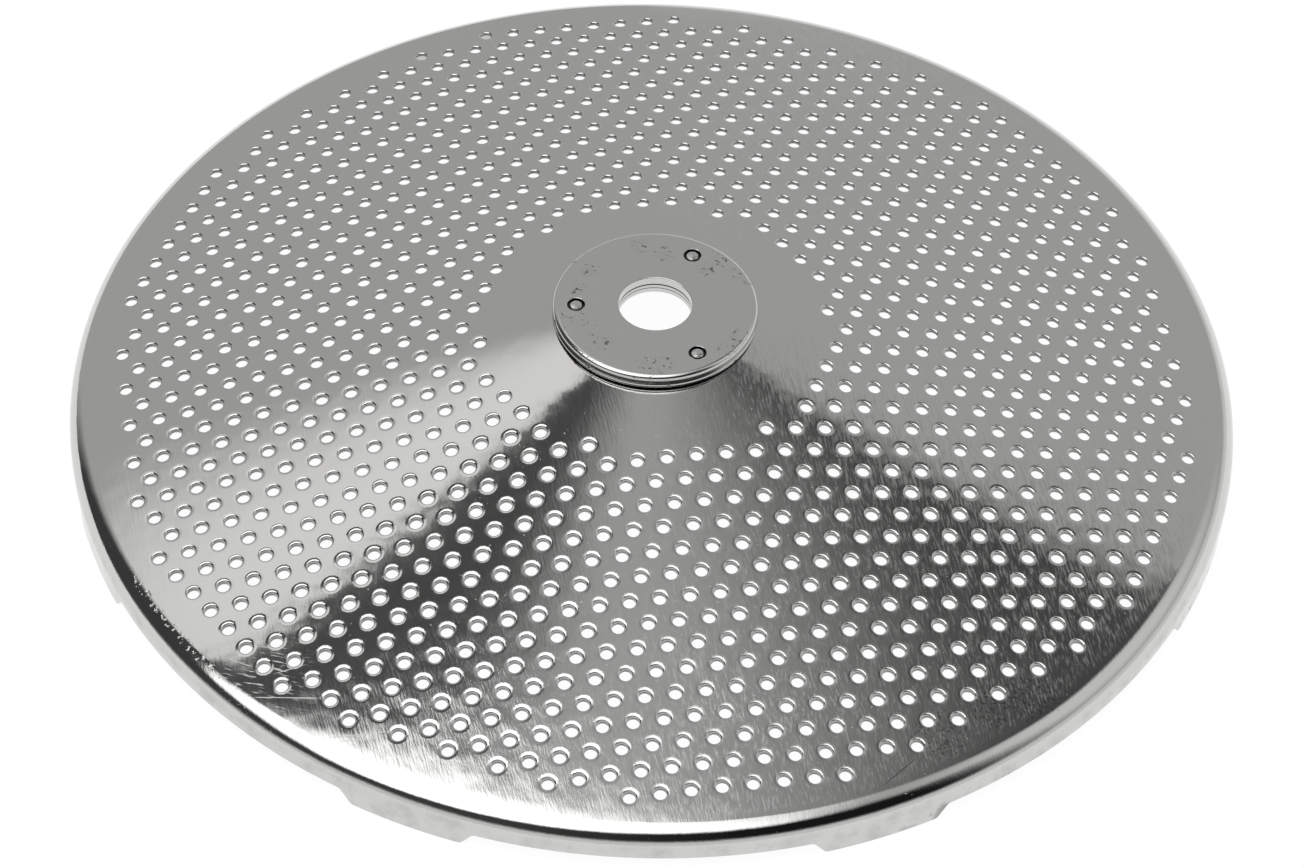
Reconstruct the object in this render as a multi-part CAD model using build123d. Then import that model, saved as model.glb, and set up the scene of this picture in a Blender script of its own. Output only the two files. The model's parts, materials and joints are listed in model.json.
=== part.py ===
from build123d import *
import math
import os

# Food mill disc: a punched conical sheet with a turned-down rim on lugs, and a riveted hub with a bore.
# Millimetres. The disc's axis is Z, and the feet of the lugs stand on z = 0.

# Sheet
sheet_thickness = 0.7
rim_diameter = 160.5
cone_angle = 11.6
bend_radius = 3.4
bend_flat_count = 3
skirt_height = 0.6
land_margin = 0.35

# Lugs along the rim
lug_count = 8
lug_height = 2.2
lug_root_width = 18.8
lug_tip_width = 15.5
lug_corner_radius = 0.9
lug_turn = 22.9

# Punched field: a triangular lattice of round holes, centred on the axis, between two plain margins.
# Each modelled opening stands for a block of holes, three on a side, and all have the holes' area together.
hole_diameter = 2.0
hole_pitch = 4.0
hole_row_angle = 9.8
plain_rim_width = 4.85
plain_hub_width = 8.0
block_side_count = 3

# Hub: two washers on the flat land at the top of the sheet
bore_diameter = 10.0
hub_diameter = 28.0
hub_washer_thickness = 1.3
hub_edge_chamfer = 0.35
bore_chamfer = 0.25
backing_washer_thickness = 0.7

# Rivets, set flush in counterbores of the upper washer
rivet_count = 3
rivet_turn = 63.0
rivet_edge_distance = 3.25
rivet_shank_diameter = 1.5
rivet_head_diameter = 1.9
rivet_head_height = 0.4
rivet_head_gap = 0.2
rivet_tail_diameter = 2.8
rivet_tail_height = 0.5
rivet_clearance = 0.05

# Radii and heights that follow from the sizes above
rim_radius = rim_diameter / 2
bore_radius = bore_diameter / 2
hub_radius = hub_diameter / 2
rivet_circle_radius = hub_radius - rivet_edge_distance
land_radius = rivet_circle_radius + rivet_tail_diameter / 2 + land_margin
cone_rise = math.tan(math.radians(cone_angle))
bend_setback = bend_radius * math.tan(math.radians(90 - cone_angle) / 2)
corner_z = lug_height + skirt_height + bend_setback
land_z = corner_z + (rim_radius - land_radius) * cone_rise
backing_z = land_z + backing_washer_thickness
hub_top_z = backing_z + hub_washer_thickness
rivet_hole_radius = rivet_shank_diameter / 2 + rivet_clearance
cut_reach = 2 * sheet_thickness


def cone_height(radius):
    """Height of the cone's upper face at a distance from the axis."""
    return corner_z + (rim_radius - radius) * cone_rise


def rivet_places():
    """Places of the rivets, on a circle inside the washers' edge."""
    return PolarLocations(rivet_circle_radius, rivet_count, start_angle=rivet_turn)


def rim_bend():
    """Ends of the flats that make up the rim bend, on its arc from the cone to the skirt."""
    centre = (rim_radius - bend_radius, corner_z - bend_setback)
    points = []
    for step in range(bend_flat_count + 1):
        lean = math.radians(cone_angle + (90 - cone_angle) * step / bend_flat_count)
        points.append((centre[0] + bend_radius * math.sin(lean), centre[1] + bend_radius * math.cos(lean)))
    return points


def pressed_sheet():
    """Land, cone, rim bend and skirt, as one section turned about the axis."""
    with BuildPart() as sheet:
        with BuildSketch(Plane.XZ):
            with BuildLine():
                Polyline((bore_radius, land_z), (land_radius, land_z), *rim_bend(), (rim_radius, 0))
                offset(amount=sheet_thickness, side=Side.RIGHT)
            make_face()
        revolve(axis=Axis.Z)
    return sheet.part


def lug_outline():
    """Lug seen along a radius: a trapezium on its tip, with rounded corners at root and tip."""
    wing = lug_root_width / 2 + 2 * lug_corner_radius
    with BuildSketch() as outline:
        with BuildLine():
            foot = FilletPolyline(
                (-wing, lug_height),
                (-lug_root_width / 2, lug_height),
                (-lug_tip_width / 2, 0),
                (lug_tip_width / 2, 0),
                (lug_root_width / 2, lug_height),
                (wing, lug_height),
                radius=lug_corner_radius,
            )
            Polyline(foot @ 1, (wing, 2 * lug_height), (-wing, 2 * lug_height), foot @ 0)
        make_face()
    return outline.sketch


def lug_gaps():
    """What is trimmed off the foot of the skirt to leave the lugs standing."""
    inner = rim_radius - sheet_thickness - cut_reach
    outer = rim_radius + cut_reach
    with BuildPart() as gaps:
        with Locations((0, 0, lug_height)):
            Cylinder(outer, lug_height + cut_reach, align=(Align.CENTER, Align.CENTER, Align.MAX))
            Cylinder(inner, lug_height + cut_reach, align=(Align.CENTER, Align.CENTER, Align.MAX),
                     mode=Mode.SUBTRACT)
        for step in range(lug_count):
            turn = math.radians(lug_turn + step * 360 / lug_count)
            outward = Vector(math.cos(turn), math.sin(turn), 0)
            tangent = Vector(-math.sin(turn), math.cos(turn), 0)
            wall = Plane(outward * inner, x_dir=tangent, z_dir=outward)
            extrude(wall * lug_outline(), amount=outer - inner + cut_reach, mode=Mode.SUBTRACT)
    return gaps.part


def lattice(block):
    """Plan positions of blocks of holes, that many on a side, which stay clear of both plain margins."""
    half_width = block * hole_diameter / 2
    inner = hub_radius + plain_hub_width + half_width
    outer = rim_radius - plain_rim_width - half_width
    pitch = block * hole_pitch
    along = Vector(pitch, 0, 0).rotate(Axis.Z, hole_row_angle)
    across = along.rotate(Axis.Z, 60)
    reach = math.ceil(2 * outer / pitch)
    steps = range(-reach, reach + 1)
    points = [along * i + across * j for i in steps for j in steps]
    return [point for point in points if inner <= point.length <= outer]


def opening_cutter(centre, side):
    """Four-sided cutter, bounded by two radii and two circles about the axis."""
    radius = centre.length
    sweep = math.degrees(side / radius)
    middle = Vector(radius, 0, cone_height(radius) - sheet_thickness / 2)
    section = Plane(middle, x_dir=(1, 0, 0), z_dir=(0, -1, 0))
    face = Face.make_rect(side, sheet_thickness + side * cone_rise + 2 * cut_reach, section)
    start = math.degrees(math.atan2(centre.Y, centre.X)) - sweep / 2
    return Rot(0, 0, start) * Solid.revolve(face, sweep, Axis.Z)


def openings():
    """Cutters of the modelled openings, which together open as much of the sheet as all the round holes do."""
    centres = lattice(block_side_count)
    open_area = len(lattice(1)) * math.pi * hole_diameter ** 2 / 4
    side = math.sqrt(open_area / len(centres))
    return [opening_cutter(centre, side) for centre in centres]


def sieve_disc():
    """The sheet with its punched field, lugs and rivet holes."""
    disc = pressed_sheet().cut(*openings())
    rivet_hole = Cylinder(rivet_hole_radius, 2 * cut_reach)
    rivet_holes = Pos(0, 0, land_z) * rivet_places() * rivet_hole
    return disc.cut(*rivet_holes, *lug_gaps().solids())


def hub_washer():
    """Upper washer: bevelled edge, chamfered bore and a counterbore for each rivet."""
    with BuildPart() as washer:
        with Locations((0, 0, backing_z)):
            Cylinder(hub_radius, hub_washer_thickness, align=(Align.CENTER, Align.CENTER, Align.MIN))
        rim = washer.faces().sort_by(Axis.Z)[-1].edges()
        chamfer(rim, hub_edge_chamfer)
        with Locations((0, 0, hub_top_z)):
            CounterSinkHole(bore_radius, bore_radius + bore_chamfer, counter_sink_angle=90)
            with rivet_places():
                CounterBoreHole(
                    rivet_hole_radius,
                    rivet_head_diameter / 2 + rivet_head_gap,
                    rivet_head_height,
                )
    return washer.part


def backing_washer():
    """Thin washer between the upper washer and the sheet's land."""
    with BuildPart() as washer:
        with Locations((0, 0, land_z)):
            Cylinder(hub_radius, backing_washer_thickness, align=(Align.CENTER, Align.CENTER, Align.MIN))
        with Locations((0, 0, backing_z)):
            Hole(bore_radius)
            with rivet_places():
                Hole(rivet_hole_radius)
    return washer.part


def hub_rivets():
    """Rivets: a flush head, a shank through both washers and the sheet, and a flat tail under the land."""
    head_radius = rivet_head_diameter / 2
    shank_radius = rivet_shank_diameter / 2
    tail_radius = rivet_tail_diameter / 2
    head_z = hub_top_z - rivet_head_height
    tail_z = land_z - sheet_thickness
    foot_z = tail_z - rivet_tail_height
    with BuildPart() as rivet:
        with BuildSketch(Plane.XZ):
            with BuildLine():
                Polyline(
                    (0, foot_z),
                    (0, hub_top_z),
                    (head_radius, hub_top_z),
                    (head_radius, head_z),
                    (shank_radius, head_z),
                    (shank_radius, tail_z),
                    (tail_radius, tail_z),
                    (tail_radius, foot_z),
                    close=True,
                )
            make_face()
        revolve(axis=Axis.Z)
    return Compound(children=[place * rivet.part for place in rivet_places()])


os.makedirs("parts", exist_ok=True)
export_step(sieve_disc(), "parts/sieve_disc.step")
export_step(hub_washer(), "parts/hub_washer.step")
export_step(backing_washer(), "parts/backing_washer.step")
export_step(hub_rivets(), "parts/hub_rivets.step")
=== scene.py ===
import json
import math

import bpy
from mathutils import Matrix, Vector
from mathutils.geometry import delaunay_2d_cdt


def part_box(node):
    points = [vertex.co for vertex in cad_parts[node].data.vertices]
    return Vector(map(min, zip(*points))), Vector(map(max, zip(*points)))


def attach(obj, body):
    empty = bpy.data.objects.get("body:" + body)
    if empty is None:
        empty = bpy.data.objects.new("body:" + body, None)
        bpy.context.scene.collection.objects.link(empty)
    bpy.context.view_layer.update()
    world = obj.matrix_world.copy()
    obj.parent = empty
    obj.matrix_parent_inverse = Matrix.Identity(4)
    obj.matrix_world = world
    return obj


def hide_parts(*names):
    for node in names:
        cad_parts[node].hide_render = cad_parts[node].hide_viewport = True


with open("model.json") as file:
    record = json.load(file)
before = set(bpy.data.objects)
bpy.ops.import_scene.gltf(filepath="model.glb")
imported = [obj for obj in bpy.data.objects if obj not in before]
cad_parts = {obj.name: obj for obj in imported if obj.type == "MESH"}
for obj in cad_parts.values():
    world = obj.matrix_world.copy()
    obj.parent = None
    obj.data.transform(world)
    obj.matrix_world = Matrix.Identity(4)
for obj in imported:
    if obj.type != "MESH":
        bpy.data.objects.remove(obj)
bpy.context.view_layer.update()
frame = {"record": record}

# Sizes are in metres, and most are written in millimetres.
mm = 0.001

# Sizes read from the frame
disc_low, disc_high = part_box("sieve_disc")
hub_low, hub_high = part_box("hub_washer")
rivets_low, rivets_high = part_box("hub_rivets")
rim_radius = disc_high.x
land_z = disc_high.z
hub_radius = hub_high.x
bore_radius = next(m for m in frame["record"]["mounts"] if m["name"] == "bore")["dims"]["r_mm"] * mm

# Sheet
sheet_thickness = 0.7 * mm
cone_angle = math.radians(11.6)
bend_radius = 3.4 * mm
skirt_height = 0.6 * mm
land_radius = 12.5 * mm
cone_rise = math.tan(cone_angle)
sheet_drop = sheet_thickness / math.cos(cone_angle)
lug_height = 2.2 * mm
bend_centre_radius = rim_radius - bend_radius
bend_centre_z = lug_height + skirt_height
bend_start_radius = bend_centre_radius + bend_radius * math.sin(cone_angle)
ease_start_radius = 74.0 * mm
ease_angle = math.radians(1.3)

# Lugs
lug_count = 8
lug_root_width = 18.8 * mm
lug_tip_width = 15.5 * mm
lug_corner_radius = 0.9 * mm
lug_turn = math.radians(22.9)
column_spacing = 1.8 * mm

# Punched field
hole_radius = 0.82 * mm
hole_lip = 0.33 * mm
hole_flare = 0.03 * mm
hole_pitch = 4.0 * mm
hole_row_angle = math.radians(9.8)
field_inner_radius = hub_radius + 9.0 * mm
field_outer_radius = rim_radius - 6.05 * mm
field_corner_cut = 0.3 * mm
hole_sides = 14
dish_radius = 1.5 * mm
dish_depth = 0.012 * mm
dish_angle = math.radians(4.0)
field_start_radius = 20.5 * mm
field_end_radius = 76.2 * mm

# Hub
rivet_count = 3
rivet_turn = math.radians(63.0)
rivet_circle_radius = hub_radius - 3.25 * mm
rivet_head_radius = 0.92 * mm
rivet_recess_radius = 1.2 * mm
rivet_recess_depth = 0.4 * mm
rivet_tail_radius = 1.4 * mm
hub_segments = 180

# Brushing of the sheet, as a direction in plan
grain_angle = math.radians(104.0)


def polar(radius, angle, z=0.0):
    return (radius * math.cos(angle), radius * math.sin(angle), z)


def cone_height(radius):
    """Height of the sheet's upper face on the cone."""
    corner_z = bend_centre_z + bend_radius * math.tan((math.pi / 2 - cone_angle) / 2)
    return corner_z + (rim_radius - radius) * cone_rise


class Shell:
    """Faces of one piece. Each corner of a face has its own normal, so that edges are smooth or sharp as they are."""

    def __init__(self):
        self.points = []
        self.faces = []
        self.corner_normals = []

    def add(self, points):
        """Adds points and gives back their numbers."""
        first = len(self.points)
        self.points.extend(points)
        return list(range(first, len(self.points)))

    def face(self, corners, normals):
        self.faces.append(tuple(corners))
        self.corner_normals.extend(normals)

    def strip(self, upper, lower, upper_normals, lower_normals):
        """Quads between two closed rings of the same count, with the outside seen when lower lies to the right."""
        count = len(upper)
        for k in range(count):
            n = (k + 1) % count
            self.face(
                (upper[k], lower[k], lower[n], upper[n]),
                (upper_normals[k], lower_normals[k], lower_normals[n], upper_normals[n]),
            )

    def make(self, name, material):
        mesh = bpy.data.meshes.new(name)
        mesh.from_pydata(self.points, [], self.faces)
        mesh.polygons.foreach_set("use_smooth", [True] * len(self.faces))
        mesh.normals_split_custom_set(self.corner_normals)
        mesh.materials.append(material)
        piece = bpy.data.objects.new(name, mesh)
        bpy.context.scene.collection.objects.link(piece)
        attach(piece, "root")
        return piece


def rounded_corner(before, corner, after, radius, steps):
    """Points of the arc that rounds a corner of an outline, from the first side to the second."""
    corner = Vector(corner)
    to_before = (Vector(before) - corner).normalized()
    to_after = (Vector(after) - corner).normalized()
    half = to_before.angle(to_after) / 2
    centre = corner + (to_before + to_after).normalized() * radius / math.sin(half)
    start = corner + to_before * radius / math.tan(half) - centre
    end = corner + to_after * radius / math.tan(half) - centre
    sweep = start.angle_signed(end)
    points = []
    for k in range(steps + 1):
        turned = start.copy()
        turned.rotate(Matrix.Rotation(-sweep * k / steps, 2))
        points.append(centre + turned)
    return points


def lug_half_outline():
    """Foot of half a lug, from its middle outward: distance along the rim, and height."""
    tip = (lug_tip_width / 2, 0.0)
    root = (lug_root_width / 2, lug_height)
    far = (lug_root_width, lug_height)
    steps = 5
    tip_arc = rounded_corner((0.0, 0.0), tip, root, lug_corner_radius, steps)
    root_arc = rounded_corner(tip, root, far, lug_corner_radius, steps)
    flat = int(tip_arc[0].x / column_spacing)
    middle = [Vector((tip_arc[0].x * k / flat, 0.0)) for k in range(flat)]
    return middle + tip_arc + root_arc


def rim_columns():
    """Angles of the rim's columns and the height of the sheet's edge at each."""
    half = lug_half_outline()
    outline = [Vector((-p.x, p.y)) for p in reversed(half[1:])] + half
    columns = []
    for lug in range(lug_count):
        middle = lug_turn + lug * 2 * math.pi / lug_count
        for p in outline:
            columns.append((middle + math.asin(p.x / rim_radius), p.y))
        last = columns[-1][0]
        gap = 2 * math.pi / lug_count - 2 * (last - middle)
        count = int(gap * rim_radius / column_spacing)
        for k in range(1, count):
            columns.append((last + gap * k / count, lug_height))
    return columns


def hole_centres():
    """Plan positions of every punched hole. The field is cut a little shorter along the lattice's three axes."""
    along = Vector((math.cos(hole_row_angle), math.sin(hole_row_angle))) * hole_pitch
    across_angle = hole_row_angle + math.pi / 3
    across = Vector((math.cos(across_angle), math.sin(across_angle))) * hole_pitch
    reach = math.ceil(2 * field_outer_radius / hole_pitch)
    steps = range(-reach, reach + 1)
    points = [along * i + across * j for i in steps for j in steps]

    def in_field(point):
        turn = math.atan2(point.y, point.x) - hole_row_angle
        outer = field_outer_radius - field_corner_cut * math.cos(6 * turn)
        return field_inner_radius <= point.length <= outer

    return [p for p in points if in_field(p)]


def cone_lean(radius):
    """Angle of the cone's normal from the axis, which grows a little just before the bend."""
    share = max(0.0, (radius - ease_start_radius) / (bend_start_radius - ease_start_radius))
    return cone_angle + ease_angle * share ** 2


def cone_normal(x, y):
    radius = math.hypot(x, y)
    lean = cone_lean(radius)
    side = math.sin(lean) / radius
    return Vector((x * side, y * side, math.cos(lean)))


def plate_triangles(rings, inside):
    """Triangles between closed outlines in plan. inside says which of them, by their middle, belong to the plate."""
    flat = []
    edges = []
    for ring in rings:
        first = len(flat)
        flat.extend(Vector((p[0], p[1])) for p in ring)
        edges.extend((first + k, first + (k + 1) % len(ring)) for k in range(len(ring)))
    found, _, faces, origin, _, _ = delaunay_2d_cdt(flat, edges, [], 0, 1e-9)
    triangles = []
    for face in faces:
        middle = sum((found[k] for k in face), Vector((0.0, 0.0))) / 3
        if inside(middle):
            triangles.append([origin[k][0] for k in face])
    return triangles


def counterclockwise(triangle, points):
    a, b, c = (points[k] for k in triangle)
    turn = (b[0] - a[0]) * (c[1] - a[1]) - (b[1] - a[1]) * (c[0] - a[0])
    return triangle if turn > 0 else triangle[::-1]


def hole_profile():
    """Rings of a hole's upper side: distance from its centre, depth under the cone, and tilt of the surface.
    The sheet dips a little towards the hole, and its edge is rounded by the punch."""
    rings = [(dish_radius, 0.0, 0.0)]
    for angle in (dish_angle, math.radians(45), math.radians(90)):
        reach = hole_radius + hole_lip * (1 - math.sin(angle))
        depth = dish_depth + hole_lip * (1 - math.cos(angle))
        rings.append((reach, depth, angle))
    return rings


def punched_field(shell, inner_angles, outer_angles):
    """The cone's punched stretch, upper and lower face, with the rounded wall of every hole.
    Gives back the rings of its inner and outer ends: upper and lower."""
    centres = hole_centres()
    circle = [(math.cos(2 * math.pi * k / hole_sides), math.sin(2 * math.pi * k / hole_sides))
              for k in range(hole_sides)]
    ends = []
    for radius, angles in ((field_start_radius, inner_angles), (field_end_radius, outer_angles)):
        plan = [polar(radius, a) for a in angles]
        upper = shell.add([(p[0], p[1], cone_height(radius)) for p in plan])
        lower = shell.add([(p[0], p[1], cone_height(radius) - sheet_drop) for p in plan])
        ends.append((plan, upper, lower))
    upper_rings = [end[0] for end in ends]
    lower_rings = [end[0] for end in ends]
    upper_numbers = ends[0][1] + ends[1][1]
    lower_numbers = ends[0][2] + ends[1][2]
    for centre in centres:
        levels = []
        for reach, depth, angle in hole_profile():
            plan = [(centre.x + reach * c, centre.y + reach * s) for c, s in circle]
            if not levels:
                upper_rings.append(plan)
            numbers = shell.add([(x, y, cone_height(math.hypot(x, y)) - depth) for x, y in plan])
            normals = []
            for (x, y), (c, s) in zip(plan, circle):
                normal = cone_normal(x, y)
                outward = Vector((c, s, 0.0))
                outward = (outward - normal * outward.dot(normal)).normalized()
                normals.append(normal * math.cos(angle) - outward * math.sin(angle))
            levels.append((numbers, normals))
        reach = hole_radius + hole_flare
        plan = [(centre.x + reach * c, centre.y + reach * s) for c, s in circle]
        foot = shell.add([(x, y, cone_height(math.hypot(x, y)) - sheet_drop) for x, y in plan])
        lower_rings.append(plan)
        levels.append((foot, levels[-1][1]))
        for (upper, upper_normals), (lower, lower_normals) in zip(levels, levels[1:]):
            shell.strip(lower, upper, lower_normals, upper_normals)
        upper_numbers += levels[0][0]
        lower_numbers += foot
    near_holes = {}
    for centre in centres:
        cell = (int(centre.x // hole_pitch), int(centre.y // hole_pitch))
        near_holes.setdefault(cell, []).append(centre)

    def plate(hole_reach):
        """Says whether a point of the plan lies on the sheet, outside holes of that radius."""
        def on_plate(point):
            if not field_start_radius * math.cos(math.pi / len(inner_angles)) < point.length < field_end_radius:
                return False
            i, j = int(point.x // hole_pitch), int(point.y // hole_pitch)
            near = [c for a in (i - 1, i, i + 1) for b in (j - 1, j, j + 1) for c in near_holes.get((a, b), [])]
            return all((point - c).length > hole_reach * math.cos(math.pi / hole_sides) for c in near)
        return on_plate

    plan = [p for ring in upper_rings for p in ring]
    for triangle in plate_triangles(upper_rings, plate(dish_radius)):
        triangle = counterclockwise(triangle, plan)
        shell.face([upper_numbers[k] for k in triangle], [cone_normal(*plan[k][:2]) for k in triangle])
    plan = [p for ring in lower_rings for p in ring]
    for triangle in plate_triangles(lower_rings, plate(hole_radius + hole_flare)):
        triangle = counterclockwise(triangle, plan)[::-1]
        shell.face([lower_numbers[k] for k in triangle], [-cone_normal(*plan[k][:2]) for k in triangle])
    return ends


def turned(shell, profile, angles, start=None, end=None):
    """Rings of a profile turned about the axis. A profile point is radius, height and the angle of its normal
    from the axis, outward. start and end are rings that exist already."""
    rings = []
    for k, (radius, z, lean) in enumerate(profile):
        normals = [Vector((math.sin(lean) * math.cos(a), math.sin(lean) * math.sin(a), math.cos(lean)))
                   for a in angles]
        if k == 0 and start is not None:
            numbers = start
        elif k == len(profile) - 1 and end is not None:
            numbers = end
        else:
            numbers = shell.add([polar(radius, a, z) for a in angles])
        rings.append((numbers, normals))
    for (a, an), (b, bn) in zip(rings, rings[1:]):
        shell.strip(a, b, an, bn)
    return rings


def sieve_sheet(material):
    """The pressed sheet: land, punched cone, bend, skirt and lugs."""
    shell = Shell()
    columns = rim_columns()
    outer_angles = [c[0] for c in columns]
    inner_angles = [2 * math.pi * k / 144 for k in range(144)]
    inner_end, outer_end = punched_field(shell, inner_angles, outer_angles)
    flat = 0.0
    down = math.pi
    land_under = land_z - sheet_thickness
    upper = turned(shell, [
        (bore_radius, land_z, flat),
        (land_radius, land_z, flat),
    ], inner_angles)
    turned(shell, [
        (land_radius, land_z, cone_angle),
        (field_start_radius, 0.0, cone_angle),
    ], inner_angles, start=upper[-1][0], end=inner_end[1])
    lower = turned(shell, [
        (field_start_radius, 0.0, down + cone_angle),
        (land_radius, land_under, down + cone_angle),
    ], inner_angles, start=inner_end[2])
    bore_foot = turned(shell, [
        (land_radius, land_under, down),
        (bore_radius, land_under, down),
    ], inner_angles, start=lower[-1][0])
    turned(shell, [
        (bore_radius, land_under, -math.pi / 2),
        (bore_radius, land_z, -math.pi / 2),
    ], inner_angles, start=bore_foot[-1][0], end=upper[0][0])
    bend_steps = 12
    leans = [cone_angle + (math.pi / 2 - cone_angle) * k / bend_steps for k in range(bend_steps + 1)]

    def bend(radius):
        points = []
        for k, lean in enumerate(leans):
            shown_lean = lean + ease_angle * (1 - k / bend_steps) ** 2
            points.append((bend_centre_radius + radius * math.sin(lean), bend_centre_z + radius * math.cos(lean),
                           shown_lean))
        return points

    field_lean = cone_lean(field_end_radius)
    outer = turned(shell, [(field_end_radius, 0.0, field_lean)] + bend(bend_radius), outer_angles,
                   start=outer_end[1])
    inner_bend = [(r, z, a + math.pi) for r, z, a in bend(bend_radius - sheet_thickness)]
    inner = turned(shell, inner_bend[::-1] + [(field_end_radius, 0.0, field_lean + math.pi)], outer_angles,
                   end=outer_end[2])
    out = [Vector(polar(1.0, a)) for a in outer_angles]
    back = [-n for n in out]
    inside_radius = rim_radius - sheet_thickness
    foot_outer = shell.add([polar(rim_radius, a, z) for a, z in columns])
    foot_inner = shell.add([polar(inside_radius, a, z) for a, z in columns])
    shell.strip(outer[-1][0], foot_outer, out, out)
    edge = []
    for k, (angle, z) in enumerate(columns):
        before, after = columns[k - 1], columns[(k + 1) % len(columns)]
        run = ((after[0] - before[0]) % (2 * math.pi)) * rim_radius
        slope = math.atan2(after[1] - before[1], run)
        tangent = Vector((-math.sin(angle), math.cos(angle), 0.0))
        edge.append(tangent * math.sin(slope) - Vector((0, 0, 1)) * math.cos(slope))
    shell.strip(foot_outer, foot_inner, edge, edge)
    shell.strip(foot_inner, inner[0][0], back, back)
    piece = shell.make("sieve_sheet", material)
    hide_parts("sieve_disc")
    return piece


def ring_angles(count):
    return [2 * math.pi * k / count for k in range(count)]


def washer(name, node, material, top_round, foot_round, recessed):
    """A washer with rounded edges. A recessed one has the three pockets of the rivets in its upper face."""
    low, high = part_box(node)
    shell = Shell()
    angles = ring_angles(hub_segments)
    steps = 5
    profile = []
    for k in range(steps + 1):
        lean = math.pi / 2 * k / steps
        profile.append((hub_radius - top_round * (1 - math.sin(lean)), high.z - top_round * (1 - math.cos(lean)), lean))
    for k in range(steps + 1):
        lean = math.pi / 2 * (1 + k / steps)
        profile.append((hub_radius - foot_round * (1 - math.sin(lean)),
                        low.z + foot_round * (1 + math.cos(lean)), lean))
    rings = turned(shell, profile, angles)
    bore_round = 0.12 * mm
    bore = []
    for k in range(steps + 1):
        lean = math.pi / 2 * k / steps
        bore.append((bore_radius + bore_round * (1 - math.sin(lean)), low.z + bore_round * (1 - math.cos(lean)),
                     math.pi + lean))
    for k in range(steps + 1):
        lean = math.pi / 2 * (1 - k / steps)
        bore.append((bore_radius + bore_round * (1 - math.sin(lean)), high.z - bore_round * (1 - math.cos(lean)),
                     -lean))
    bore_rings = turned(shell, bore, angles)
    under = Vector((0, 0, -1))
    over = Vector((0, 0, 1))
    shell.strip(rings[-1][0], bore_rings[0][0], [under] * hub_segments, [under] * hub_segments)
    outer_ring = [shell.points[k] for k in rings[0][0]]
    inner_ring = [shell.points[k] for k in bore_rings[-1][0]]
    outlines = [outer_ring, inner_ring]
    numbers = rings[0][0] + bore_rings[-1][0]
    places = [rivet_turn + 2 * math.pi * k / rivet_count for k in range(rivet_count)] if recessed else []
    pocket_angles = ring_angles(36)
    pocket_round = 0.12 * mm
    for place in places:
        cx, cy, _ = polar(rivet_circle_radius, place)
        levels = []
        for lean_degrees in (0, 45, 90):
            lean = math.radians(lean_degrees)
            reach = rivet_recess_radius + pocket_round * (1 - math.sin(lean))
            z = high.z - pocket_round * (1 - math.cos(lean))
            ring = [(cx + reach * math.cos(a), cy + reach * math.sin(a), z) for a in pocket_angles]
            normals = [Vector((-math.sin(lean) * math.cos(a), -math.sin(lean) * math.sin(a), math.cos(lean)))
                       for a in pocket_angles]
            levels.append((shell.add(ring), normals))
        floor_z = high.z - rivet_recess_depth
        ring = [(cx + rivet_recess_radius * math.cos(a), cy + rivet_recess_radius * math.sin(a), floor_z)
                for a in pocket_angles]
        levels.append((shell.add(ring), levels[-1][1]))
        for (a, an), (b, bn) in zip(levels, levels[1:]):
            shell.strip(b, a, bn, an)
        shell.face(levels[-1][0], [over] * len(pocket_angles))
        outlines.append([shell.points[k] for k in levels[0][0]])
        numbers += levels[0][0]
    pockets = [Vector(polar(rivet_circle_radius, place)[:2]) for place in places]
    inner_limit = bore_radius + bore_round
    outer_limit = hub_radius - top_round

    def on_face(middle):
        if not inner_limit * math.cos(math.pi / hub_segments) < middle.length < outer_limit:
            return False
        return all((middle - p).length > rivet_recess_radius for p in pockets)

    plan = [p for ring in outlines for p in ring]
    for triangle in plate_triangles(outlines, on_face):
        triangle = counterclockwise(triangle, plan)
        shell.face([numbers[k] for k in triangle], [over] * 3)
    piece = shell.make(name, material)
    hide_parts(node)
    return piece


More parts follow.
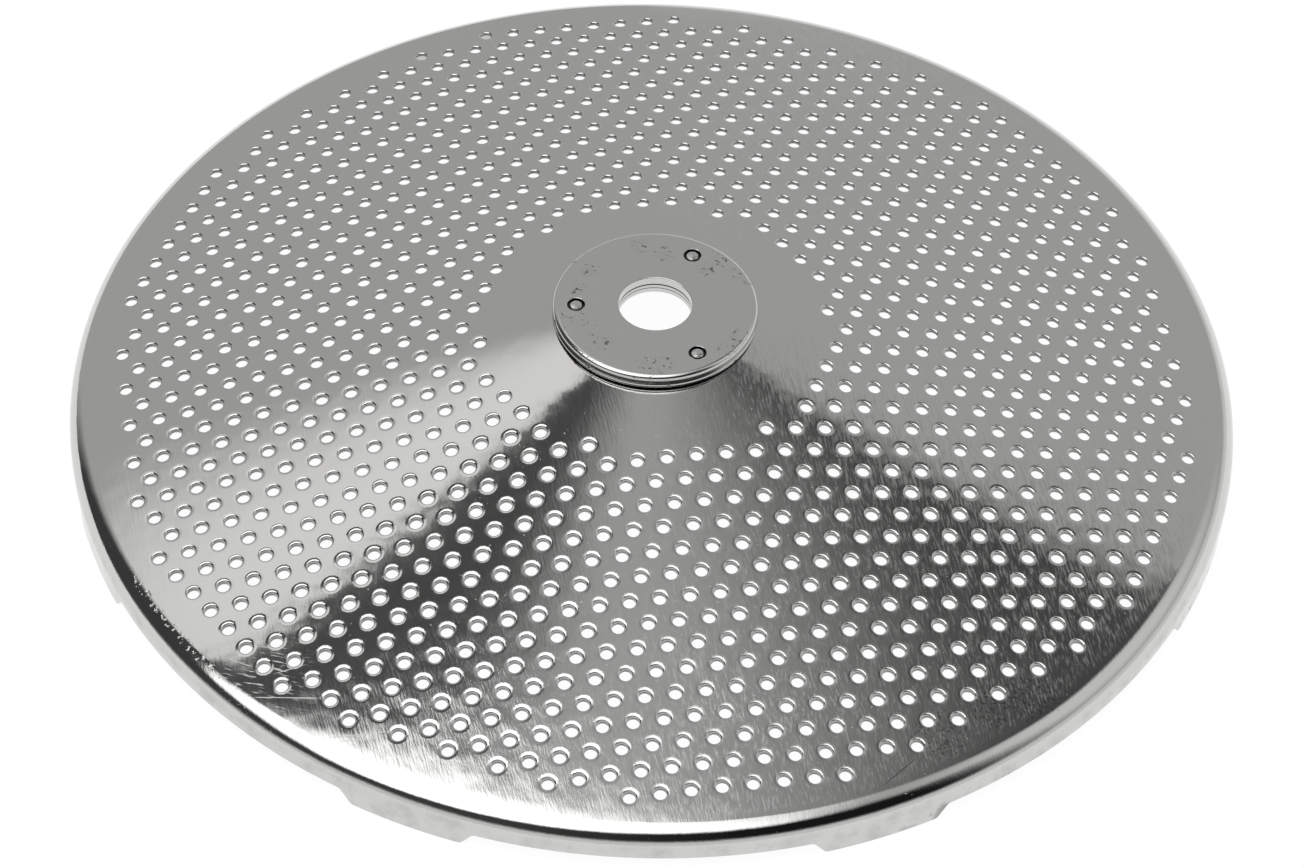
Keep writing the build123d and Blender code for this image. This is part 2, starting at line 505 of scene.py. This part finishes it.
def rivets(material):
    """Three rivets: a low domed head in its pocket and a tail under the land. The shank, hidden in the hub, is not
    built.
    """
    shell = Shell()
    angles = ring_angles(36)
    head_z = rivets_high.z
    dome = 0.1 * mm
    edge = 0.12 * mm
    pocket_z = hub_high.z - rivet_recess_depth
    tail_top = land_z - sheet_thickness
    tail_foot = rivets_low.z
    tail_edge = 0.15 * mm
    steps = 4
    for k in range(rivet_count):
        cx, cy, _ = polar(rivet_circle_radius, rivet_turn + 2 * math.pi * k / rivet_count)

        def ring(radius, z, lean):
            numbers = shell.add([(cx + radius * math.cos(a), cy + radius * math.sin(a), z) for a in angles])
            normals = [Vector((math.sin(lean) * math.cos(a), math.sin(lean) * math.sin(a), math.cos(lean)))
                       for a in angles]
            return numbers, normals

        def closed(profile):
            rings = [ring(*p) for p in profile]
            for (a, an), (b, bn) in zip(rings, rings[1:]):
                shell.strip(a, b, an, bn)
            return rings

        flat_radius = rivet_head_radius - edge
        profile = []
        for j in range(1, steps + 1):
            share = j / steps
            profile.append((flat_radius * share, head_z - dome * share ** 2, 2 * dome * share / flat_radius))
        for j in range(1, steps + 1):
            lean = math.pi / 2 * j / steps
            profile.append((rivet_head_radius - edge * (1 - math.sin(lean)),
                            head_z - dome - edge * (1 - math.cos(lean)), lean))
        profile.append((rivet_head_radius, pocket_z, math.pi / 2))
        rings = closed(profile)
        top = shell.add([(cx, cy, head_z)])[0]
        count = len(angles)
        up = Vector((0, 0, 1))
        first, first_normals = rings[0]
        for j in range(count):
            n = (j + 1) % count
            shell.face((top, first[j], first[n]), (up, first_normals[j], first_normals[n]))
        foot, _ = rings[-1]
        shell.face(foot[::-1], [-up] * count)
        tail = [(rivet_tail_radius, tail_top, math.pi / 2)]
        for j in range(steps + 1):
            lean = math.pi / 2 * (1 + j / steps)
            tail.append((rivet_tail_radius - tail_edge * (1 - math.sin(lean)),
                         tail_foot + tail_edge * (1 + math.cos(lean)), lean))
        rings = closed(tail)
        shell.face(rings[0][0], [up] * count)
        shell.face(rings[-1][0][::-1], [-up] * count)
    piece = shell.make("rivets", material)
    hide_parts("hub_rivets")
    return piece


class Graph:
    """Short hand for a node tree: each call adds a node, sets its values and links its inputs."""

    def __init__(self, tree):
        self.tree = tree
        tree.nodes.clear()

    def node(self, kind, settings=None, **inputs):
        node = self.tree.nodes.new(kind)
        for key, value in (settings or {}).items():
            setattr(node, key, value)
        for key, value in inputs.items():
            self.feed(node, key.replace("_", " "), value)
        return node

    def feed(self, node, key, value):
        socket = node.inputs[int(key)] if key.isdigit() else node.inputs[key]
        if isinstance(value, bpy.types.NodeSocket):
            self.tree.links.new(value, socket)
        else:
            socket.default_value = value

    def math(self, operation, a, b=0.0, c=0.0):
        node = self.tree.nodes.new("ShaderNodeMath")
        node.operation = operation
        for key, value in zip("012", (a, b, c)):
            self.feed(node, key, value)
        return node.outputs[0]

    def step(self, value, low, high):
        """0 below low and 1 above high, with a smooth rise between."""
        node = self.tree.nodes.new("ShaderNodeMapRange")
        node.interpolation_type = "SMOOTHSTEP"
        node.clamp = True
        for key, item in (("Value", value), ("From Min", low), ("From Max", high)):
            self.feed(node, key, item)
        return node.outputs["Result"]

    def mix(self, share, a, b):
        node = self.tree.nodes.new("ShaderNodeMix")
        node.data_type = "FLOAT"
        self.feed(node, "0", share)
        self.feed(node, "2", a)
        self.feed(node, "3", b)
        return node.outputs[0]

    def inverse(self, value):
        return self.math("SUBTRACT", 1.0, value)

    def product(self, *values):
        result = values[0]
        for value in values[1:]:
            result = self.math("MULTIPLY", result, value)
        return result

    def noise(self, vector, scale, detail=2.0, roughness=0.5):
        node = self.node("ShaderNodeTexNoise", Scale=scale, Detail=detail, Roughness=roughness)
        self.tree.links.new(vector, node.inputs["Vector"])
        return node.outputs["Fac"]


def grain_coordinates(graph, place, angle, stretch):
    """Coordinates turned to a direction in plan, and pressed together along it."""
    turned_place = graph.node("ShaderNodeMapping", {"vector_type": "POINT"}, Vector=place)
    turned_place.inputs["Rotation"].default_value = (0.0, 0.0, -angle)
    pressed = graph.node("ShaderNodeMapping", {"vector_type": "POINT"}, Vector=turned_place.outputs[0])
    pressed.inputs["Scale"].default_value = (1.0 / stretch, 1.0, 1.0)
    return pressed.outputs[0]


def scratch(graph, x, y, start, end, width):
    """1 on a thin straight line between two places of the plan, fading at its ends."""
    run = Vector(end) - Vector(start)
    along = run.normalized()
    fade = 2 * mm
    from_x = graph.math("SUBTRACT", x, start[0])
    from_y = graph.math("SUBTRACT", y, start[1])
    across = graph.math("MULTIPLY_ADD", from_x, -along.y, graph.math("MULTIPLY", from_y, along.x))
    reach = graph.math("MULTIPLY_ADD", from_x, along.x, graph.math("MULTIPLY", from_y, along.y))
    return graph.product(
        graph.inverse(graph.step(graph.math("ABSOLUTE", across), width / 4, width)),
        graph.step(reach, 0.0, fade),
        graph.inverse(graph.step(reach, run.length - fade, run.length)),
    )


def patch(graph, x, y, centre, radius):
    """1 at a place of the plan, fading to 0 at a distance from it."""
    off_x = graph.math("DIVIDE", graph.math("SUBTRACT", x, centre[0]), radius)
    off_y = graph.math("DIVIDE", graph.math("SUBTRACT", y, centre[1]), radius)
    square = graph.math("MULTIPLY_ADD", off_x, off_x, graph.math("MULTIPLY", off_y, off_y))
    return graph.inverse(graph.step(square, 0.2, 1.0))


def finish_steel(graph, colour, dirt_and_shade, gloss, normal):
    """Metal whose colour falls to a dark one where there is dirt or painted shade."""
    tint = graph.node("ShaderNodeMix", {"data_type": "RGBA"})
    graph.feed(tint, "0", dirt_and_shade)
    graph.feed(tint, "6", tuple(colour) + (1.0,))
    graph.feed(tint, "7", (0.02, 0.019, 0.018, 1.0))
    shader = graph.node("ShaderNodeBsdfPrincipled", Metallic=1.0, Roughness=gloss, Normal=normal)
    graph.feed(shader, "Base Color", tint.outputs[2])
    out = graph.node("ShaderNodeOutputMaterial")
    graph.tree.links.new(shader.outputs[0], out.inputs["Surface"])


def sheet_steel():
    """Brushed sheet: hairlines along the grain, a slight wave, scratches, specks, stains, nicks on the bend, and
    painted shade on the walls of the holes.
    """
    material = bpy.data.materials.new("sheet_steel")
    material.use_nodes = True
    graph = Graph(material.node_tree)
    place = graph.node("ShaderNodeTexCoord").outputs["Object"]
    x, y, z = graph.node("ShaderNodeSeparateXYZ", Vector=place).outputs
    radius = graph.math("SQRT", graph.math("MULTIPLY_ADD", x, x, graph.math("MULTIPLY", y, y)))
    along = grain_coordinates(graph, place, grain_angle, 45.0)
    fine = graph.noise(along, 3600.0, 3.0, 0.6)
    lines = graph.mix(0.35, fine, graph.noise(along, 700.0))
    smear = graph.noise(place, 45.0, 4.0, 0.6)
    grit = graph.noise(place, 2200.0)

    # Light scratches near the rim at the front left, and the rubbed place round them
    marks = graph.step(grit, 0.735, 0.775)
    for start, end in (
        ((-51.0, -58.8), (-41.5, -59.5)),
        ((-56.0, -52.0), (-50.5, -54.4)),
        ((-40.4, -65.4), (-32.2, -64.7)),
        ((-39.3, -66.0), (-33.7, -65.7)),
        ((-45.6, -57.0), (-43.9, -57.9)),
        ((-48.5, -55.6), (-43.5, -54.2)),
    ):
        line = scratch(graph, x, y, Vector(start) * mm, Vector(end) * mm, 0.09 * mm)
        marks = graph.math("MAXIMUM", marks, line)
    rub_lines = graph.noise(grain_coordinates(graph, place, math.radians(-14.0), 14.0), 3600.0)
    rubbed = patch(graph, x, y, (-49.0 * mm, -57.0 * mm), 8.0 * mm)
    marks = graph.math("MAXIMUM", marks, graph.product(rubbed, graph.step(rub_lines, 0.58, 0.72), 0.6))

    # Nicks along the bend at the left
    nicked = graph.product(
        graph.step(radius, 77.4 * mm, 77.8 * mm),
        graph.inverse(graph.step(radius, 78.2 * mm, 78.7 * mm)),
        graph.inverse(graph.step(x, -57.0 * mm, -53.5 * mm)),
        graph.inverse(graph.step(y, -40.0 * mm, -36.0 * mm)),
    )
    nicks = graph.product(nicked, graph.step(graph.noise(place, 1500.0), 0.56, 0.66))
    marks = graph.math("MAXIMUM", marks, nicks)

    # Stains between the holes and the rim at the right, and a dark scratch in front of them
    stained = patch(graph, x, y, (50.5 * mm, -55.0 * mm), 4.5 * mm)
    for centre, reach in (((45.5, -57.6), 4.0), ((38.4, -62.4), 4.5)):
        stained = graph.math("MAXIMUM", stained, patch(graph, x, y, Vector(centre) * mm, reach * mm))
    stains = graph.product(stained, graph.step(graph.noise(place, 2000.0, 3.0), 0.5, 0.66))
    dark_line = scratch(graph, x, y, (30.6 * mm, -70.9 * mm), (35.8 * mm, -65.6 * mm), 0.13 * mm)
    dirt_and_shade = graph.math("MULTIPLY", graph.math("MAXIMUM", stains, dark_line), 0.5)

    # Painted shade: the walls of the holes are darkened
    apex_z = cone_height(0.0)
    depth = graph.math("SUBTRACT", graph.math("MULTIPLY_ADD", radius, -cone_rise, apex_z), z)
    painted_wall_shade = graph.product(
        graph.step(depth, 0.2 * mm, 0.36 * mm),
        graph.inverse(graph.step(depth, 0.5 * mm, 0.66 * mm)),
        graph.inverse(graph.step(radius, 75.9 * mm, 76.2 * mm)),
        graph.step(radius, 20.5 * mm, 21.0 * mm),
    )
    dirt_and_shade = graph.math("MULTIPLY_ADD", painted_wall_shade, 0.75, dirt_and_shade)

    # Mottled skirt, with dirt along its foot at the right
    skirt = graph.inverse(graph.step(z, 3.6 * mm, 4.6 * mm))
    mottle = graph.step(graph.noise(place, 330.0, 3.0, 0.6), 0.4, 0.75)
    foot = graph.product(graph.inverse(graph.step(z, 1.9 * mm, 3.0 * mm)), graph.step(x, 25.0 * mm, 45.0 * mm))
    foot_dirt = graph.product(foot, graph.step(graph.noise(place, 420.0, 3.0, 0.6), 0.54, 0.66))
    dirt_and_shade = graph.math("ADD", dirt_and_shade, graph.product(skirt, graph.math("MULTIPLY_ADD", mottle, 0.16, 0.02)))
    dirt_and_shade = graph.math("ADD", dirt_and_shade, graph.math("MULTIPLY", foot_dirt, 0.5))

    gloss = graph.math("MULTIPLY_ADD", graph.step(smear, 0.5, 0.8), 0.06, 0.065)
    gloss = graph.math("MULTIPLY_ADD", graph.math("SUBTRACT", fine, 0.5), 0.06, gloss)
    streaks = graph.product(
        graph.step(fine, 0.42, 0.68),
        graph.step(x, -12.0 * mm, 15.0 * mm),
        graph.inverse(graph.step(radius, 76.4 * mm, 77.4 * mm)),
    )
    gloss = graph.math("MULTIPLY_ADD", streaks, 0.17, gloss)
    gloss = graph.math("MULTIPLY_ADD", marks, 0.4, gloss)
    wave = graph.node("ShaderNodeBump", Strength=1.0, Distance=3e-5, Height=graph.noise(place, 70.0))
    dents = graph.node("ShaderNodeBump", Strength=1.0, Distance=3e-5, Height=graph.noise(place, 230.0, 1.0),
                       Normal=wave.outputs[0])
    nick_bump = graph.node("ShaderNodeBump", Strength=1.0, Distance=-4e-5, Height=nicks, Normal=dents.outputs[0])
    bump = graph.node("ShaderNodeBump", Strength=1.0, Distance=1.1e-5, Height=lines, Normal=nick_bump.outputs[0])
    finish_steel(graph, (0.61, 0.605, 0.595), dirt_and_shade, gloss, bump.outputs[0])
    return material


def hub_steel():
    """Satin steel of the washers and rivets: small pits, dirt in the joints, and painted shade in the pockets round the
    rivets' heads.
    """
    material = bpy.data.materials.new("hub_steel")
    material.use_nodes = True
    graph = Graph(material.node_tree)
    place = graph.node("ShaderNodeTexCoord").outputs["Object"]
    x, y, z = graph.node("ShaderNodeSeparateXYZ", Vector=place).outputs
    radius = graph.math("SQRT", graph.math("MULTIPLY_ADD", x, x, graph.math("MULTIPLY", y, y)))

    # Distance from the nearest rivet's axis
    share = math.pi / rivet_count
    angle = graph.math("SUBTRACT", graph.math("ARCTAN2", y, x), rivet_turn)
    folded = graph.math("WRAP", angle, share, -share)
    off_x = graph.math("MULTIPLY_ADD", radius, graph.math("COSINE", folded), -rivet_circle_radius)
    off_y = graph.math("MULTIPLY", radius, graph.math("SINE", folded))
    rivet_distance = graph.math("SQRT", graph.math("MULTIPLY_ADD", off_x, off_x, graph.math("MULTIPLY", off_y, off_y)))
    on_rivet = graph.inverse(graph.step(rivet_distance, 0.75 * mm, 0.9 * mm))

    # Painted shade: the pockets round the rivets' heads are darkened nearly to black
    below_top = graph.math("SUBTRACT", hub_high.z, z)
    painted_pocket_shade = graph.product(
        graph.step(below_top, 0.1 * mm, 0.22 * mm),
        graph.inverse(graph.step(rivet_distance, 1.25 * mm, 1.35 * mm)),
    )
    dirt_and_shade = graph.math("MULTIPLY", painted_pocket_shade, 0.95)
    for joint in (hub_low.z, land_z):
        off_joint = graph.math("ABSOLUTE", graph.math("SUBTRACT", z, joint))
        dirt_and_shade = graph.math("MAXIMUM", dirt_and_shade, graph.inverse(graph.step(off_joint, 0.06 * mm, 0.16 * mm)))

    # Pits gather in places, and here and there along the outer edge
    pitted = graph.product(graph.step(radius, 12.0 * mm, 13.0 * mm), graph.step(graph.noise(place, 160.0), 0.5, 0.6))
    for centre in (
        (-10.7, 2.6), (-10.4, -3.2), (-8.6, -5.3), (-6.8, -7.6), (0.9, 9.7), (6.7, 6.9), (9.2, 8.8), (11.2, 6.5),
        (-2.4, 11.0), (-0.8, -11.4), (1.4, -11.2), (9.8, -8.3), (11.3, -5.7), (-9.2, 6.4),
    ):
        pitted = graph.math("MAXIMUM", pitted, patch(graph, x, y, Vector(centre) * mm, 1.7 * mm))
    pits = graph.product(pitted, graph.step(graph.noise(place, 1500.0), 0.57, 0.68))
    haze = graph.product(pitted, graph.step(graph.noise(place, 500.0, 4.0, 0.7), 0.45, 0.7))
    dirt_and_shade = graph.math("MAXIMUM", dirt_and_shade, graph.math("MULTIPLY", pits, 0.75))
    dirt_and_shade = graph.math("MAXIMUM", dirt_and_shade, graph.math("MULTIPLY", haze, 0.12))

    gloss = graph.math("MULTIPLY_ADD", haze, 0.1, 0.15)
    gloss = graph.math("MULTIPLY_ADD", pits, 0.3, gloss)
    dimples = graph.product(on_rivet, graph.noise(place, 1500.0))
    dimple_bump = graph.node("ShaderNodeBump", Strength=1.0, Distance=1.5e-4, Height=dimples)
    pit_bump = graph.node("ShaderNodeBump", Strength=1.0, Distance=-3e-5, Height=pits, Normal=dimple_bump.outputs[0])
    finish_steel(graph, (0.6, 0.595, 0.585), dirt_and_shade, gloss, pit_bump.outputs[0])
    return material


def pale_floor():
    """A white floor that keeps a faint shadow of the object."""
    material = bpy.data.materials.new("pale_floor")
    material.use_nodes = True
    graph = Graph(material.node_tree)
    paths = graph.node("ShaderNodeLightPath").outputs
    seen = graph.math("MAXIMUM", paths["Is Camera Ray"], paths["Is Glossy Ray"])
    seen = graph.math("MAXIMUM", seen, paths["Is Transmission Ray"])
    plain = graph.node("ShaderNodeBsdfDiffuse", Color=(0.8, 0.8, 0.8, 1.0))
    shade = graph.node("ShaderNodeBsdfDiffuse", Color=(0.1, 0.1, 0.1, 1.0))
    white = graph.node("ShaderNodeEmission", Color=(1.0, 1.0, 1.0, 1.0), Strength=0.94)
    both = graph.node("ShaderNodeAddShader")
    graph.feed(both, "0", shade.outputs[0])
    graph.feed(both, "1", white.outputs[0])
    mixed = graph.node("ShaderNodeMixShader")
    graph.feed(mixed, "0", seen)
    graph.feed(mixed, "1", plain.outputs[0])
    graph.feed(mixed, "2", both.outputs[0])
    out = graph.node("ShaderNodeOutputMaterial")
    graph.tree.links.new(mixed.outputs[0], out.inputs["Surface"])
    return material


def floor():
    size = 4.0
    mesh = bpy.data.meshes.new("floor")
    level = -0.02 * mm
    corners = [(-size, -size, level), (size, -size, level), (size, size, level), (-size, size, level)]
    mesh.from_pydata(corners, [], [(0, 1, 2, 3)])
    mesh.materials.append(pale_floor())
    piece = bpy.data.objects.new("floor", mesh)
    bpy.context.scene.collection.objects.link(piece)


def studio():
    """Soft studio light: grey walls, a soft box overhead to the left, a dark room in front and a pale table."""
    world = bpy.data.worlds.new("studio")
    bpy.context.scene.world = world
    world.use_nodes = True
    graph = Graph(world.node_tree)
    look = graph.node("ShaderNodeTexCoord").outputs["Generated"]
    x, y, z = graph.node("ShaderNodeSeparateXYZ", Vector=look).outputs
    degrees = 180 / math.pi
    height = graph.math("MULTIPLY", graph.math("ARCSINE", z), degrees)
    forward = graph.math("MULTIPLY", y, -1.0)
    turn = graph.math("MULTIPLY", graph.math("ARCTAN2", x, forward), degrees)
    overhead = graph.math("MAXIMUM", z, 0.05)
    roof_x = graph.math("DIVIDE", x, overhead)
    roof_y = graph.math("DIVIDE", y, overhead)

    def spot(turn_middle, height_middle, turn_width, height_width):
        """A soft round patch of the surroundings."""
        across = graph.math("DIVIDE", graph.math("SUBTRACT", turn, turn_middle), turn_width)
        upward = graph.math("DIVIDE", graph.math("SUBTRACT", height, height_middle), height_width)
        square = graph.math("MULTIPLY_ADD", across, across, graph.math("MULTIPLY", upward, upward))
        return graph.inverse(graph.step(square, 0.0, 1.0))

    # Grey walls, lighter at the upper left and at the right
    level = graph.math("MULTIPLY_ADD", spot(-150, 58, 35, 15), 0.5, 0.5)
    level = graph.math("MULTIPLY_ADD", spot(98, 42, 45, 30), 0.3, level)
    # The gap between the back wall and the soft box
    gap_top = graph.math("MULTIPLY_ADD", roof_x, -0.22, roof_y)
    gap = graph.product(
        graph.inverse(graph.step(gap_top, 0.555, 0.58)),
        graph.step(roof_y, 0.1, 0.32),
        graph.step(roof_x, -1.1, -0.75),
        graph.inverse(graph.step(roof_x, 0.5, 0.75)),
        graph.step(z, 0.3, 0.5),
    )
    gap_middle = graph.product(graph.step(roof_x, -0.2, -0.05), graph.inverse(graph.step(roof_x, -0.03, 0.4)))
    gap_level = graph.math("MULTIPLY_ADD", gap_middle, 0.4, 0.08)
    level = graph.mix(gap, level, gap_level)
    # The dark room, from the left round the front to the right
    dark_foot = graph.math("MULTIPLY_ADD", graph.math("MINIMUM", graph.math("ADD", turn, 45.0), 0.0), 0.3, 16.0)
    dark = graph.product(
        graph.step(graph.math("SUBTRACT", height, dark_foot), -6.0, 8.0),
        graph.inverse(graph.step(height, 48.0, 66.0)),
        graph.step(turn, -134.0, -118.0),
        graph.inverse(graph.step(turn, 52.0, 82.0)),
    )
    dark_level = graph.mix(graph.step(turn, -30.0, 20.0), 0.06, 0.012)
    level = graph.mix(dark, level, dark_level)
    # The pale table up to the horizon
    table = graph.product(graph.inverse(graph.step(graph.math("SUBTRACT", height, dark_foot), -8.0, 3.0)),
                    graph.step(turn, -134.0, -110.0))
    level = graph.mix(table, level, 0.8)
    # The soft box: each edge is a line over the ceiling, from where it starts to fade to where it is gone
    edges = (
        (-0.45, 1.0, 0.46, 0.58),
        (0.47, 1.0, 0.212, 0.256),
        (1.0, 0.33, 0.0, 0.36),
        (0.5, -1.0, 0.58, 0.95),
        (0.0, -1.0, 0.72, 1.0),
        (-1.0, -0.3, 1.05, 1.75),
    )
    box = graph.step(z, 0.3, 0.5)
    for slope_x, slope_y, start, gone in edges:
        reach = graph.math("MULTIPLY_ADD", roof_x, slope_x, graph.math("MULTIPLY", roof_y, slope_y))
        box = graph.product(box, graph.inverse(graph.step(reach, start, gone)))
    level = graph.mix(box, level, 2.0)
    seen = graph.node("ShaderNodeLightPath").outputs["Is Camera Ray"]
    level = graph.mix(seen, level, 1.0)
    surface = graph.node("ShaderNodeBackground", Color=(1.0, 1.0, 1.0, 1.0), Strength=level)
    out = graph.node("ShaderNodeOutputWorld")
    graph.tree.links.new(surface.outputs[0], out.inputs["Surface"])


def camera():
    """The photograph's view: looking down on the disc, turned a little about the line of sight."""
    elevation = math.radians(46.694)
    roll = math.radians(1.725)
    distance = 669.99 * mm
    shift_right = 0.085 * mm
    shift_up = -2.957 * mm
    focal_pixels = 4825.5
    image_width = 1304
    sensor = 36.0
    right = Vector((1, 0, 0))
    up = Vector((0, math.sin(elevation), math.cos(elevation)))
    forward = Vector((0, math.cos(elevation), -math.sin(elevation)))
    place = right * shift_right + up * shift_up - forward * distance
    view_right = right * math.cos(roll) + up * math.sin(roll)
    view_up = up * math.cos(roll) - right * math.sin(roll)
    data = bpy.data.cameras.new("view")
    data.sensor_width = sensor
    data.lens = focal_pixels * sensor / image_width
    item = bpy.data.objects.new("view", data)
    axes = Matrix((view_right, view_up, -forward)).transposed().to_4x4()
    item.matrix_world = Matrix.Translation(place) @ axes
    bpy.context.scene.collection.objects.link(item)
    bpy.context.scene.camera = item


hub_metal = hub_steel()
sieve_sheet(sheet_steel())
washer("upper_washer", "hub_washer", hub_metal, 0.75 * mm, 0.15 * mm, True)
washer("lower_washer", "backing_washer", hub_metal, 0.4 * mm, 0.2 * mm, False)
rivets(hub_metal)
floor()
studio()
camera()
bpy.context.scene.view_settings.view_transform = "Standard"
